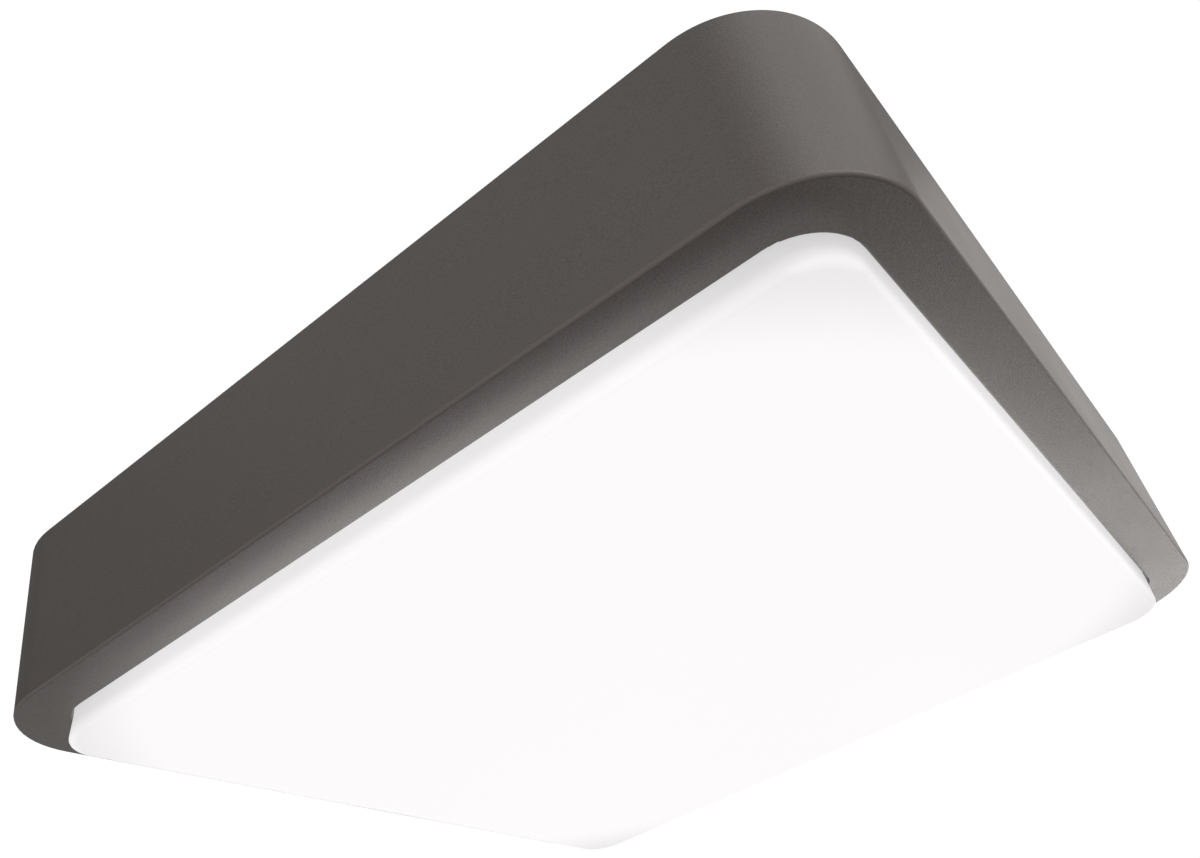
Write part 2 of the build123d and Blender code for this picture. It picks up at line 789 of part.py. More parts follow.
with BuildPart() as driver_capacitors:
    with BuildSketch(at_depth(driver_board_front)):
        with Locations((input_capacitor_x, driver_rise + input_capacitor_rise)):
            Circle(input_capacitor_radius)
        with Locations(*[(x, driver_rise + output_capacitor_rise) for x in output_capacitor_xs]):
            Circle(output_capacitor_radius)
        with Locations((film_capacitor_x, driver_rise + film_capacitor_rise)):
            RectangleRounded(film_capacitor_length, film_capacitor_width, film_capacitor_edge)
    extrude(amount=component_room)

driver_screws = screws(
    at_depth(base_front + ear_thickness),
    driver_screw_spots,
    driver_screw_head_radius,
    driver_screw_head_height,
    driver_screw_radius,
    ear_thickness + driver_screw_bite,
)

# Terminal block with brass inserts, their screws and two fixing screws
terminal_screw_spots = [
    (x, terminal_z + side * terminal_screw_spread / 2) for x in pole_xs for side in (-1, 1)
]
screw_well = terminal_screw_head_radius + hole_gap
with BuildPart() as terminal_block:
    with BuildSketch(at_depth(base_front)):
        with Locations((terminal_shift, terminal_z)):
            Rectangle(terminal_width, terminal_length)
    extrude(amount=terminal_height)
    chamfer(terminal_block.faces().sort_by(Axis.Y)[0].edges().filter_by(Axis.X), terminal_chamfer)
    fillet(terminal_block.edges().filter_by(Axis.Y), terminal_corner)
    with BuildSketch(Plane.XY.offset(terminal_top)):
        with Locations(*[(x, -lead_level) for x in pole_xs]):
            Circle(insert_radius + screw_gap)
    extrude(amount=-terminal_length, mode=Mode.SUBTRACT)
    with BuildSketch(at_depth(lead_level)):
        with Locations(*terminal_screw_spots):
            Circle(screw_well)
    extrude(amount=terminal_height, mode=Mode.SUBTRACT)
    with BuildSketch(at_depth(base_front + terminal_fixing_sink)):
        with Locations(*terminal_fixing_spots):
            Circle(terminal_fixing_head_radius + hole_gap)
    extrude(amount=terminal_height, mode=Mode.SUBTRACT)
    with BuildSketch(at_depth(base_front)):
        with Locations(*terminal_fixing_spots):
            Circle(terminal_fixing_radius + hole_gap)
    extrude(amount=terminal_height, mode=Mode.SUBTRACT)

with BuildPart() as terminal_inserts:
    with BuildSketch(Plane.XY.offset(terminal_z - insert_length / 2)):
        with Locations(*[(x, -lead_level) for x in pole_xs]):
            Circle(insert_radius)
            Circle(insert_bore, mode=Mode.SUBTRACT)
    extrude(amount=insert_length)
    with BuildSketch(at_depth(lead_level)):
        with Locations(*terminal_screw_spots):
            Circle(terminal_screw_radius + screw_gap)
    extrude(amount=terminal_height, mode=Mode.SUBTRACT)

screw_seat = lead_level + insert_radius + fit_gap
terminal_screws = screws(
    at_depth(screw_seat),
    terminal_screw_spots,
    terminal_screw_head_radius,
    terminal_screw_head_height,
    terminal_screw_radius,
    insert_radius - supply_lead_radius,
)

terminal_fixing_screws = screws(
    at_depth(base_front + terminal_fixing_sink),
    terminal_fixing_spots,
    terminal_fixing_head_radius,
    terminal_fixing_head_height,
    terminal_fixing_radius,
    terminal_fixing_sink + driver_screw_bite,
)

# Earth point: ring terminal, washer and screw on the base
ring_level = base_front
barrel_level = ring_level + barrel_radius
barrel_start = earth_spot[0] + earth_washer_radius + barrel_gap
with BuildPart() as earth_ring_terminal:
    with BuildSketch(at_depth(ring_level)):
        with Locations(earth_spot):
            Circle(ring_radius)
        neck = barrel_start - earth_spot[0]
        with Locations((earth_spot[0] + neck / 2, earth_spot[1])):
            Rectangle(neck, 2 * barrel_radius)
        with Locations(earth_spot):
            Circle(earth_screw_radius + hole_gap, mode=Mode.SUBTRACT)
    extrude(amount=ring_thickness)
    with BuildSketch(Plane.YZ.offset(barrel_start)):
        with Locations((-barrel_level, earth_spot[1])):
            Circle(barrel_radius)
    extrude(amount=barrel_length)
    with BuildSketch(Plane.YZ.offset(barrel_start + barrel_length)):
        with Locations((-barrel_level, earth_spot[1])):
            Circle(supply_lead_radius + fit_gap)
    extrude(amount=barrel_stop - barrel_length, mode=Mode.SUBTRACT)

with BuildPart() as earth_washer:
    with BuildSketch(at_depth(ring_level + ring_thickness)):
        with Locations(earth_spot):
            Circle(earth_washer_radius)
            Circle(earth_screw_radius + hole_gap, mode=Mode.SUBTRACT)
            with PolarLocations(earth_washer_radius, washer_notches):
                Circle(washer_notch_radius, mode=Mode.SUBTRACT)
    extrude(amount=earth_washer_thickness)

earth_screw = screws(
    at_depth(ring_level + ring_thickness + earth_washer_thickness),
    [earth_spot],
    earth_head_radius,
    earth_head_height,
    earth_screw_radius,
    ring_thickness + earth_washer_thickness + earth_screw_bite,
)

# Leads between the terminal block, the earth point, the driver and the LED board
lead_start = terminal_z + insert_length / 2 - lead_grip
lead_end = driver_bottom + driver_wall + lead_tail
run_middle = (terminal_top + driver_bottom) / 2


def supply_lead(pole, hole):
    """Lead from a pole of the terminal block into the driver, with an easy sideways bend."""
    route = [
        spot(pole, lead_level, lead_start),
        spot(pole, lead_level, run_middle - supply_lead_slant),
        spot(hole, lead_level, run_middle + supply_lead_slant),
        spot(hole, lead_level, lead_end),
    ]
    return lead(route, supply_lead_radius, supply_lead_bend)


live_lead = supply_lead(live_pole, driver_leads[0])
neutral_lead = supply_lead(neutral_pole, driver_leads[1])

earth_lead = lead(
    [
        spot(earth_pole, lead_level, lead_start),
        spot(earth_pole, lead_level, terminal_top + earth_lead_drop_start),
        spot(earth_pole, barrel_level, terminal_top + earth_lead_drop_end),
        spot(earth_pole, barrel_level, earth_spot[1]),
        spot(barrel_start + barrel_stop + lead_end_gap, barrel_level, earth_spot[1]),
    ],
    supply_lead_radius,
    [earth_lead_drop_bend, earth_lead_drop_bend, earth_lead_bend],
)


def led_lead(x):
    """Lead from the driver under the tray, up through its grommet and into the connector."""
    route = [
        spot(x, lead_level, lead_end),
        spot(x, lead_level, lead_hole_spot[1]),
        spot(x, connector_level, lead_hole_spot[1]),
        spot(x, connector_level, connector_bottom + connector_hole_depth - lead_end_gap),
    ]
    return lead(route, led_lead_radius, [led_lead_bend_back, led_lead_bend_front])


led_lead_positive = led_lead(led_lead_xs[0])
led_lead_negative = led_lead(led_lead_xs[1])

pieces = {
    "housing": housing.part,
    "diffuser": diffuser.part,
    "diffuser_gasket": diffuser_gasket.part,
    "diffuser_clips": diffuser_clips.part,
    "diffuser_clip_screws": diffuser_clip_screws,
    "cover_screw_left": cover_screw_left,
    "cover_screw_right": cover_screw_right,
    "base_plate": base_plate.part,
    "cover_rails": cover_rails.part,
    "wall_gasket": wall_gasket.part,
    "cable_grommet": cable_grommet.part,
    "tray_spacers": tray_spacers.part,
    "gear_tray": gear_tray.part,
    "tray_screws": tray_screws,
    "lead_grommet": lead_grommet.part,
    "thermal_pad": thermal_pad.part,
    "led_board": led_board.part,
    "led_packages": led_packages.part,
    "led_board_screws": led_board_screws,
    "led_connector": led_connector.part,
    "driver_case": driver_case.part,
    "driver_lid": driver_lid.part,
    "driver_board": driver_board.part,
    "driver_transformer": driver_transformer.part,
    "driver_choke": driver_choke.part,
    "driver_capacitors": driver_capacitors.part,
    "driver_screws": driver_screws,
    "terminal_block": terminal_block.part,
    "terminal_inserts": terminal_inserts.part,
    "terminal_screws": terminal_screws,
    "terminal_fixing_screws": terminal_fixing_screws,
    "earth_screw": earth_screw,
    "earth_washer": earth_washer.part,
    "earth_ring_terminal": earth_ring_terminal.part,
    "earth_lead": earth_lead,
    "live_lead": live_lead,
    "neutral_lead": neutral_lead,
    "led_lead_positive": led_lead_positive,
    "led_lead_negative": led_lead_negative,
}

os.makedirs("parts", exist_ok=True)
for name, piece in pieces.items():
    piece.label = name
    export_step(piece, f"parts/{name}.step")
    print(name, len(piece.solids()), "solids", round(piece.volume / 1000, 3), "cm3")
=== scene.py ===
import math

import bmesh
import bpy
from mathutils import Matrix, Vector


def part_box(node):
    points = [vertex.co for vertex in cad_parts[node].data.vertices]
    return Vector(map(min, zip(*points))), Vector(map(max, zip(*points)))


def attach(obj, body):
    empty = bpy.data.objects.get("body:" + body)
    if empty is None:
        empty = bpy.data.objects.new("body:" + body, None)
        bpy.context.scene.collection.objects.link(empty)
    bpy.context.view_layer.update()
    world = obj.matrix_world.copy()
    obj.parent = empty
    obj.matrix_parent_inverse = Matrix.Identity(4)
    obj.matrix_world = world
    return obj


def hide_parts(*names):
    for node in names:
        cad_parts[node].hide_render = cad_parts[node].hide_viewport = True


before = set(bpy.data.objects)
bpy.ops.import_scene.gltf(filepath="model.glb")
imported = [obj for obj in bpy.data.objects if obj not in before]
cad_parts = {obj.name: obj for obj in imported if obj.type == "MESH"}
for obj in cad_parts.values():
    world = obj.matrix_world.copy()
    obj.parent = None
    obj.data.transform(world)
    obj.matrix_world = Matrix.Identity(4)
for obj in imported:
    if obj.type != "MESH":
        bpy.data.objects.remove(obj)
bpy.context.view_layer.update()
print("frame loaded:", len(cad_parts), "nodes")


# Camera, where the photograph was taken from

photoView = {
    "place": (0.13047, -0.16718, 0.23657),
    "look": (-0.39655, 0.59351, -0.70035),
    "up": (0.48960, 0.78208, 0.38555),
    "lens": 32.592,      # mm
    "sensor": 36.0,      # mm wide
    "near": 0.01,
}


def addCamera(spec):
    look = Vector(spec["look"]).normalized()
    right = look.cross(Vector(spec["up"])).normalized()
    up = right.cross(look)
    turn = Matrix((right, up, -look)).transposed()
    data = bpy.data.cameras.new("photoCamera")
    data.lens = spec["lens"]
    data.sensor_width = spec["sensor"]
    data.clip_start = spec["near"]
    camera = bpy.data.objects.new("photoCamera", data)
    camera.matrix_world = Matrix.Translation(spec["place"]) @ turn.to_4x4()
    bpy.context.collection.objects.link(camera)
    bpy.context.scene.camera = camera


addCamera(photoView)
print("camera placed")


# Shader groups that several finishes share

grainSpec = {
    "mottle": 60.0,                # clouds per metre, where a finish gives none
    "mottleDetail": 4.0,
    "fineDetail": 2.0,
    "fineRoughness": 0.6,
    "cellSmoothness": 0.7,
    "cellDent": -0.6,              # how far the cells press the height down
    "speckReach": (0.35, 0.72),    # of the fine noise, from the low colour to the high one
}

hazeSpec = {
    "scale": 25.0,                 # clouds per metre, where a finish gives none
    "detail": 5.0,
    "distortion": 0.6,
    "cloudReach": (0.3, 0.7),      # of the cloud, from the low roughness to the high one
}


def newGroup(name, treeKind, inputs, outputs):
    tree = bpy.data.node_groups.new(name, treeKind)
    for way, sockets in (("INPUT", inputs), ("OUTPUT", outputs)):
        for socketName, kind in sockets:
            tree.interface.new_socket(name=socketName, in_out=way, socket_type=kind)
    start = tree.nodes.new("NodeGroupInput")
    end = tree.nodes.new("NodeGroupOutput")
    return tree, start, end


def makeGrainGroup(spec):
    # fine grain of a coated or moulded skin: a height for the bump, specks and a slow mottle
    tree, start, end = newGroup(
        "skinGrain", "ShaderNodeTree",
        [("Place", "NodeSocketVector"), ("Grain", "NodeSocketFloat"), ("Mottle Scale", "NodeSocketFloat")],
        [("Height", "NodeSocketFloat"), ("Speck", "NodeSocketFloat"), ("Mottle", "NodeSocketFloat")],
    )
    fine = tree.nodes.new("ShaderNodeTexNoise")
    fine.inputs["Detail"].default_value = spec["fineDetail"]
    fine.inputs["Roughness"].default_value = spec["fineRoughness"]
    cells = tree.nodes.new("ShaderNodeTexVoronoi")
    cells.feature = "SMOOTH_F1"
    cells.inputs["Smoothness"].default_value = spec["cellSmoothness"]
    slow = tree.nodes.new("ShaderNodeTexNoise")
    slow.inputs["Detail"].default_value = spec["mottleDetail"]
    blend = tree.nodes.new("ShaderNodeMath")
    blend.operation = "MULTIPLY_ADD"
    blend.inputs[1].default_value = spec["cellDent"]
    speck = tree.nodes.new("ShaderNodeMapRange")
    speck.inputs["From Min"].default_value, speck.inputs["From Max"].default_value = spec["speckReach"]
    for texture in (fine, cells):
        tree.links.new(start.outputs["Place"], texture.inputs["Vector"])
        tree.links.new(start.outputs["Grain"], texture.inputs["Scale"])
    tree.links.new(start.outputs["Place"], slow.inputs["Vector"])
    tree.links.new(start.outputs["Mottle Scale"], slow.inputs["Scale"])
    tree.links.new(cells.outputs["Distance"], blend.inputs[0])
    tree.links.new(fine.outputs["Fac"], blend.inputs[2])
    tree.links.new(fine.outputs["Fac"], speck.inputs["Value"])
    tree.links.new(blend.outputs["Value"], end.inputs["Height"])
    tree.links.new(speck.outputs["Result"], end.inputs["Speck"])
    tree.links.new(slow.outputs["Fac"], end.inputs["Mottle"])
    return tree


def makeHazeGroup(spec):
    # uneven gloss from handling and wiping, between two roughness values
    tree, start, end = newGroup(
        "wipedHaze", "ShaderNodeTree",
        [("Place", "NodeSocketVector"), ("Scale", "NodeSocketFloat"),
         ("Low", "NodeSocketFloat"), ("High", "NodeSocketFloat")],
        [("Roughness", "NodeSocketFloat")],
    )
    cloud = tree.nodes.new("ShaderNodeTexNoise")
    cloud.inputs["Detail"].default_value = spec["detail"]
    cloud.inputs["Distortion"].default_value = spec["distortion"]
    spread = tree.nodes.new("ShaderNodeMapRange")
    spread.inputs["From Min"].default_value, spread.inputs["From Max"].default_value = spec["cloudReach"]
    tree.links.new(start.outputs["Place"], cloud.inputs["Vector"])
    tree.links.new(start.outputs["Scale"], cloud.inputs["Scale"])
    tree.links.new(cloud.outputs["Fac"], spread.inputs["Value"])
    tree.links.new(start.outputs["Low"], spread.inputs["To Min"])
    tree.links.new(start.outputs["High"], spread.inputs["To Max"])
    tree.links.new(spread.outputs["Result"], end.inputs["Roughness"])
    return tree


grainGroup = makeGrainGroup(grainSpec)
hazeGroup = makeHazeGroup(hazeSpec)
print("shader groups built")


# Finishes

def newFinish(name):
    finish = bpy.data.materials.new(name)
    finish.use_nodes = True
    tree = finish.node_tree
    tree.nodes.clear()
    out = tree.nodes.new("ShaderNodeOutputMaterial")
    skin = tree.nodes.new("ShaderNodeBsdfPrincipled")
    place = tree.nodes.new("ShaderNodeTexCoord")
    tree.links.new(skin.outputs["BSDF"], out.inputs["Surface"])
    return finish, tree, skin, place.outputs["Object"]


def useGroup(tree, group, place, **values):
    node = tree.nodes.new("ShaderNodeGroup")
    node.node_tree = group
    tree.links.new(place, node.inputs["Place"])
    for name, value in values.items():
        node.inputs[name.replace("_", " ")].default_value = value
    return node


def blendColors(tree, mask, low, high):
    # low and high are colours, or sockets that give one
    mix = tree.nodes.new("ShaderNodeMix")
    mix.data_type = "RGBA"
    tree.links.new(mask, mix.inputs["Factor"])
    for socketName, color in (("A", low), ("B", high)):
        if isinstance(color, bpy.types.NodeSocket):
            tree.links.new(color, mix.inputs[socketName])
        else:
            mix.inputs[socketName].default_value = (*color, 1.0)
    return mix.outputs["Result"]


def addBump(tree, skin, height, strength, distance):
    bump = tree.nodes.new("ShaderNodeBump")
    bump.inputs["Strength"].default_value = strength
    bump.inputs["Distance"].default_value = distance
    tree.links.new(height, bump.inputs["Height"])
    tree.links.new(bump.outputs["Normal"], skin.inputs["Normal"])


def addHaze(tree, skin, place, scale, roughness):
    low, high = roughness
    hazed = useGroup(tree, hazeGroup, place, Scale=scale, Low=low, High=high)
    tree.links.new(hazed.outputs["Roughness"], skin.inputs["Roughness"])


def makeGrained(name, spec):
    # a coated, moulded or plated skin: two near colours, uneven gloss and a fine grain
    finish, tree, skin, place = newFinish(name)
    mottle = spec.get("mottle", grainSpec["mottle"])
    grained = useGroup(tree, grainGroup, place, Grain=spec["grain"], Mottle_Scale=mottle)
    color = blendColors(tree, grained.outputs[spec.get("mask", "Mottle")], spec["low"], spec["high"])
    tree.links.new(color, skin.inputs["Base Color"])
    addHaze(tree, skin, place, spec.get("haze", hazeSpec["scale"]), spec["roughness"])
    addBump(tree, skin, grained.outputs["Height"], *spec["bump"])
    skin.inputs["Metallic"].default_value = spec.get("metallic", 0.0)
    return finish


# low and high are linear colours, bump is strength and height in metres,
# and grain, mottle and haze are cells or clouds per metre
grainedFinishes = {
    "housingCoat": {
        "low": (0.055, 0.0486, 0.0460), "high": (0.090, 0.0796, 0.0751), "mask": "Speck",
        "grain": 3200.0, "haze": 14.0, "roughness": (0.39, 0.45), "bump": (0.55, 0.00006),
    },
    "baseCasting": {
        "low": (0.36, 0.365, 0.37), "high": (0.45, 0.455, 0.46), "metallic": 1.0,
        "grain": 1300.0, "haze": 60.0, "roughness": (0.50, 0.60), "bump": (0.55, 0.00012),
    },
    "whiteEnamel": {
        "low": (0.80, 0.80, 0.79), "high": (0.84, 0.84, 0.83),
        "grain": 420.0, "roughness": (0.28, 0.36), "bump": (0.12, 0.00006),
    },
    "sealRubber": {
        "low": (0.016, 0.016, 0.017), "high": (0.026, 0.026, 0.027),
        "grain": 900.0, "roughness": (0.55, 0.68), "bump": (0.2, 0.00005),
    },
    "zincSteel": {
        "low": (0.56, 0.57, 0.58), "high": (0.66, 0.66, 0.65), "metallic": 1.0,
        "grain": 2200.0, "roughness": (0.26, 0.38), "bump": (0.15, 0.00002),
    },
    "stainless": {
        "low": (0.50, 0.49, 0.48), "high": (0.57, 0.56, 0.55), "metallic": 1.0,
        "grain": 3000.0, "roughness": (0.22, 0.32), "bump": (0.12, 0.00001),
    },
    "terminalBrass": {
        "low": (0.66, 0.47, 0.18), "high": (0.74, 0.56, 0.26), "metallic": 1.0,
        "grain": 2600.0, "roughness": (0.24, 0.36), "bump": (0.12, 0.00001),
    },
    "tinnedCopper": {
        "low": (0.60, 0.59, 0.57), "high": (0.68, 0.67, 0.65), "metallic": 1.0,
        "grain": 2600.0, "roughness": (0.24, 0.36), "bump": (0.15, 0.00001),
    },
    "solderTin": {
        "low": (0.58, 0.57, 0.55), "high": (0.66, 0.65, 0.63), "metallic": 1.0,
        "grain": 5000.0, "roughness": (0.20, 0.32), "bump": (0.2, 0.00001),
    },
    "thermalSilicone": {
        "low": (0.30, 0.33, 0.37), "high": (0.36, 0.39, 0.43),
        "grain": 1600.0, "roughness": (0.60, 0.70), "bump": (0.2, 0.00003),
    },
    "boardWhite": {
        "low": (0.80, 0.81, 0.79), "high": (0.83, 0.84, 0.82),
        "grain": 1800.0, "roughness": (0.26, 0.34), "bump": (0.06, 0.00002),
    },
    "trackWhite": {
        "low": (0.76, 0.76, 0.71), "high": (0.79, 0.79, 0.74),
        "grain": 1800.0, "roughness": (0.24, 0.32), "bump": (0.06, 0.00002),
    },
    "ledWhite": {
        "low": (0.80, 0.80, 0.77), "high": (0.84, 0.84, 0.81),
        "grain": 3000.0, "roughness": (0.30, 0.38), "bump": (0.05, 0.00001),
    },
    "whitePlastic": {
        "low": (0.70, 0.69, 0.65), "high": (0.75, 0.74, 0.70),
        "grain": 1200.0, "roughness": (0.36, 0.46), "bump": (0.15, 0.00003),
    },
    "driverPlastic": {
        "low": (0.60, 0.60, 0.59), "high": (0.65, 0.65, 0.64),
        "grain": 1300.0, "roughness": (0.42, 0.52), "bump": (0.25, 0.00004),
    },
    "circuitBoard": {
        "low": (0.045, 0.16, 0.05), "high": (0.06, 0.19, 0.065),
        "grain": 900.0, "roughness": (0.30, 0.40), "bump": (0.1, 0.00002),
    },
    "ferrite": {
        "low": (0.03, 0.03, 0.033), "high": (0.05, 0.05, 0.053),
        "grain": 1200.0, "roughness": (0.45, 0.60), "bump": (0.2, 0.00003),
    },
    "capacitorSleeve": {
        "low": (0.012, 0.016, 0.03), "high": (0.018, 0.022, 0.04),
        "grain": 700.0, "roughness": (0.22, 0.30), "bump": (0.05, 0.00002),
    },
}

# the leads' insulation differs only in its two colours
leadColors = {
    "liveInsulation": ((0.13, 0.045, 0.018), (0.16, 0.06, 0.024)),
    "neutralInsulation": ((0.025, 0.09, 0.38), (0.035, 0.12, 0.46)),
    "redInsulation": ((0.42, 0.012, 0.012), (0.50, 0.02, 0.02)),
    "blackInsulation": ((0.012, 0.012, 0.012), (0.02, 0.02, 0.02)),
}
for leadFinish, (leadLow, leadHigh) in leadColors.items():
    grainedFinishes[leadFinish] = {
        "low": leadLow, "high": leadHigh, "mottle": 150.0,
        "grain": 700.0, "roughness": (0.30, 0.40), "bump": (0.08, 0.00003),
    }


# Masks worked out from the place on a piece

def fadeBetween(tree, value, reach, shares):
    fade = tree.nodes.new("ShaderNodeMapRange")
    fade.interpolation_type = "SMOOTHSTEP"
    fade.inputs["From Min"].default_value, fade.inputs["From Max"].default_value = reach
    fade.inputs["To Min"].default_value, fade.inputs["To Max"].default_value = shares
    tree.links.new(value, fade.inputs["Value"])
    return fade.outputs["Result"]


def joinValues(tree, operation, first, second):
    joined = tree.nodes.new("ShaderNodeMath")
    joined.operation = operation
    tree.links.new(first, joined.inputs[0])
    tree.links.new(second, joined.inputs[1])
    return joined.outputs["Value"]


def multiplyAll(tree, values):
    product = values[0]
    for value in values[1:]:
        product = joinValues(tree, "MULTIPLY", product, value)
    return product


def depthOf(tree, place):
    split = tree.nodes.new("ShaderNodeSeparateXYZ")
    tree.links.new(place, split.inputs["Vector"])
    return split.outputs["Y"]


def roundReach(tree, place, centre):
    # distance in the wall plane from a square of that half width: level all along a rounded square
    reach = place
    for operation, second in (
        ("MULTIPLY", (1.0, 0.0, 1.0)), ("ABSOLUTE", None), ("SUBTRACT", (centre, 0.0, centre)),
        ("MAXIMUM", (0.0, 0.0, 0.0)), ("LENGTH", None),
    ):
        step = tree.nodes.new("ShaderNodeVectorMath")
        step.operation = operation
        tree.links.new(reach, step.inputs[0])
        if second:
            step.inputs[1].default_value = second
        reach = step.outputs["Value" if operation == "LENGTH" else "Vector"]
    return reach


# The housing's front edge, with a painted highlight line round it

edgeHighlightSpec = {
    "round": 0.0008,           # of the front edge
    "corner": 0.024,           # radius of the housing's corners at the wall
    "draft": 0.85,             # degrees that the walls lean in towards the front
    "flat": 0.3,               # share of the round that is left where the line is full
    # colour of the painted highlight line
    "color": (0.150, 0.133, 0.126),
}


def paintEdgeHighlight(finish, spec):
    # a painted highlight: a pale line painted into the coat's colour round the front edge
    tree = finish.node_tree
    coat = tree.nodes["Principled BSDF"].inputs["Base Color"]
    place = tree.nodes["Texture Coordinate"].outputs["Object"]
    low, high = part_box("housing")
    front = low[1]
    centre = high[0] - spec["corner"]
    outer = spec["corner"] - abs(front) * math.tan(math.radians(spec["draft"]))
    deep, shallow = spec["round"], spec["round"] * spec["flat"]
    edge = multiplyAll(tree, [
        fadeBetween(tree, roundReach(tree, place, centre), (outer - deep, outer - shallow), (0.0, 1.0)),
        fadeBetween(tree, depthOf(tree, place), (front + deep, front + shallow), (0.0, 1.0)),
    ])
    # blend the painted highlight into the coat's colour
    highlighted = blendColors(tree, edge, coat.links[0].from_socket, spec["color"])
    tree.links.new(highlighted, coat)


# The opal panel, lit from inside

opalSpec = {
    "body": (0.30, 0.299, 0.296),
    "innerDepth": (-0.0494, -0.0489),    # behind this the skin faces the lamp chamber
    "cornerCentre": 0.0965,              # middle of the corner rounds, from the panel's middle
    "innerReach": (0.0089, 0.0097),      # past this from there it is the outer side wall
    "crest": {                           # painted highlight: a brighter line painted into the glow on the rounded edge, in the corners
        "rise": (0.0083, 0.0093), "fall": (0.0098, 0.0109),      # from the middle of the corner rounds
        "reach": (0.1430, 0.1458), "depth": (-0.0492, -0.0498),
    },
    "seen": {                            # as the camera records it
        "color": (0.819, 0.808, 0.823), "tilt": (-0.16, 0.0, 0.16),      # tilt: share gained per metre
        # crest: gain of the painted highlight on the corners' rounded edge, as the camera records it
        "cornerReach": (0.122, 0.150), "corner": 0.815, "inner": 0.80, "crest": 1.09,
        "rimReach": (-0.0462, -0.0498), "rim": 0.85,      # from the foot of the side wall to its crest
    },
    "shed": {                            # as it lights what is round it
        "color": (7.0, 6.9, 6.8), "tilt": (0.0, 0.0, 0.0),
        # crest 1.0: the painted highlight is not in the light it sheds
        "cornerReach": (0.083, 0.154), "corner": 0.25, "inner": 0.05, "crest": 1.0,
        "rimReach": (-0.0472, -0.0509), "rim": 0.42,
    },
    "unlit": (0.0, 0.0, 0.0),
    "haze": 9.0,
    "roughness": (0.50, 0.58),
    "gloss": 0.004,
}


def opalMasks(tree, place, spec):
    # depth, reach from the middle, the side towards the chamber, and the line along the corners' edge where
    # the highlight is painted
    depth = depthOf(tree, place)
    reach = roundReach(tree, place, 0.0)
    outward = roundReach(tree, place, spec["cornerCentre"])
    line = spec["crest"]
    inner = multiplyAll(tree, [
        fadeBetween(tree, depth, spec["innerDepth"], (0.0, 1.0)),
        fadeBetween(tree, outward, spec["innerReach"], (1.0, 0.0)),
    ])
    # mask of the painted highlight line on the corners' rounded edge
    crest = multiplyAll(tree, [
        fadeBetween(tree, outward, line["rise"], (0.0, 1.0)),
        fadeBetween(tree, outward, line["fall"], (1.0, 0.0)),
        fadeBetween(tree, reach, line["reach"], (0.0, 1.0)),
        fadeBetween(tree, depth, line["depth"], (0.0, 1.0)),
    ])
    return {"depth": depth, "reach": reach, "inner": inner, "crest": crest}


def opalGlow(tree, place, masks, part, unlit):
    # weaker in the corners, down the side wall and towards the chamber, with a slow tilt over the face, and
    # brighter on the corners' crest, a painted highlight
    glow = multiplyAll(tree, [
        fadeBetween(tree, masks["reach"], part["cornerReach"], (1.0, part["corner"])),
        fadeBetween(tree, masks["depth"], part["rimReach"], (part["rim"], 1.0)),
        fadeBetween(tree, masks["inner"], (0.0, 1.0), (1.0, part["inner"])),
        fadeBetween(tree, masks["crest"], (0.0, 1.0), (1.0, part["crest"])),
    ])
    lean = tree.nodes.new("ShaderNodeVectorMath")
    lean.operation = "DOT_PRODUCT"
    lean.inputs[1].default_value = part["tilt"]
    tree.links.new(place, lean.inputs[0])
    extra = joinValues(tree, "MULTIPLY", glow, lean.outputs["Value"])
    return blendColors(tree, joinValues(tree, "ADD", glow, extra), unlit, part["color"])


def makeOpal(spec):
    # white body with its own light, which the camera records weaker than it lights what is round it
    finish, tree, skin, place = newFinish("opalPanel")
    masks = opalMasks(tree, place, spec)
    shed, seen = (opalGlow(tree, place, masks, spec[part], spec["unlit"]) for part in ("shed", "seen"))
    rays = tree.nodes.new("ShaderNodeLightPath")
    light = blendColors(tree, rays.outputs["Is Camera Ray"], shed, seen)
    tree.links.new(light, skin.inputs["Emission Color"])
    addHaze(tree, skin, place, spec["haze"], spec["roughness"])
    skin.inputs["Base Color"].default_value = (*spec["body"], 1.0)
    skin.inputs["Emission Strength"].default_value = 1.0
    skin.inputs["Specular IOR Level"].default_value = spec["gloss"]
    return finish


# Foam of the wall gasket

foamSpec = {
    "pore": (0.012, 0.012, 0.013),
    "skin": (0.05, 0.05, 0.052),
    "cells": 1100.0,
    "haze": 40.0,
    "roughness": (0.75, 0.9),
    "bump": (0.6, 0.0003),
    "gloss": 0.25,
}


def makeFoam(spec):
    # closed-cell foam: open pores at the cut surface
    finish, tree, skin, place = newFinish("foamRubber")
    pores = tree.nodes.new("ShaderNodeTexVoronoi")
    pores.inputs["Scale"].default_value = spec["cells"]
    tree.links.new(place, pores.inputs["Vector"])
    color = blendColors(tree, pores.outputs["Distance"], spec["pore"], spec["skin"])
    tree.links.new(color, skin.inputs["Base Color"])
    addHaze(tree, skin, place, spec["haze"], spec["roughness"])
    addBump(tree, skin, pores.outputs["Distance"], *spec["bump"])
    skin.inputs["Specular IOR Level"].default_value = spec["gloss"]
    return finish


# Insulation of the earth lead

earthSpec = {
    "green": (0.03, 0.22, 0.04),
    "yellow": (0.72, 0.52, 0.03),
    "bands": 95.0,                 # scale of the stripes
    "stripeEdge": (0.46, 0.54),    # of the wave, from green to yellow
    "haze": 60.0,
    "roughness": (0.3, 0.42),
}


